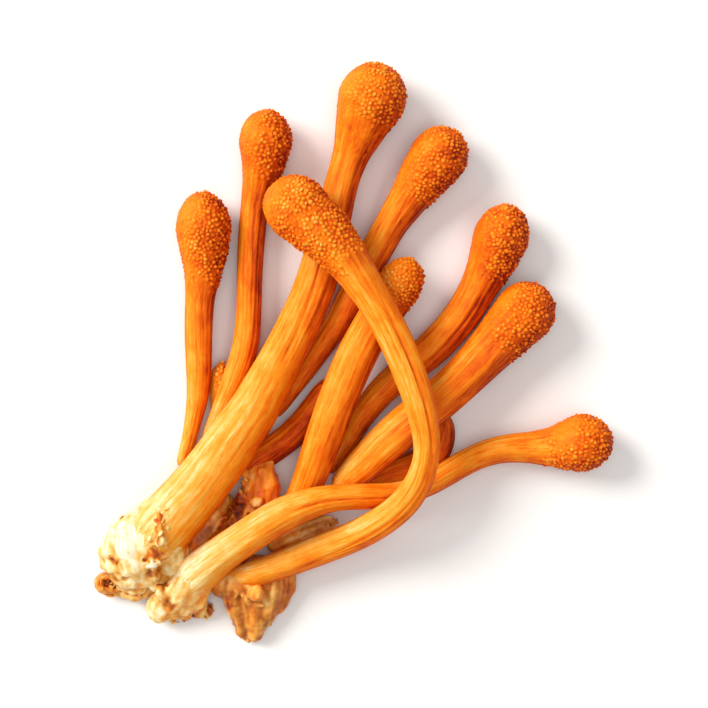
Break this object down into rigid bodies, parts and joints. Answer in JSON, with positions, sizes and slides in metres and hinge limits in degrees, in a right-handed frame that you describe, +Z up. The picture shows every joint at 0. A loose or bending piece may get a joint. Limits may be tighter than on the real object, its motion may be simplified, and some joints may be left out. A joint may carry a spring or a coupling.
{
  "type": "cordyceps bunch",
  "caption": "Bunch of orange cordyceps lying on its side: slender stems with granular club heads fan out from rough cream and tan bases.",
  "frame": {"origin": "middle of the bunch in plan, at the floor it lies on", "axes": "+Z up from the floor, +Y towards the heads of the long bodies, +X towards the single body that points to the side"},
  "size_m": [0.0604, 0.0678, 0.0122],
  "materials": {
    "orange_flesh": "matte",
    "cream_base": "matte",
    "tan_base": "matte",
    "withered_scrap": "matte"
  },
  "bodies": {
    "root": {"fruiting_body_trunk": "orange_flesh", "fruiting_body_far_left": "orange_flesh", "fruiting_body_left": "orange_flesh", "fruiting_body_top_right": "orange_flesh", "fruiting_body_middle": "orange_flesh", "fruiting_body_right_slim": "orange_flesh", "fruiting_body_right_thick": "orange_flesh", "fruiting_body_low_right": "orange_flesh", "fruiting_body_curled": "orange_flesh", "fruiting_body_rear": "orange_flesh", "fruiting_body_bent_rear": "orange_flesh", "bud_left": "orange_flesh", "base_left": "cream_base", "base_middle": "cream_base", "base_right": "tan_base", "base_upper": "tan_base", "base_between": "tan_base", "root_scrap": "withered_scrap", "torn_strip": "withered_scrap"}
  },
  "joints": []
}
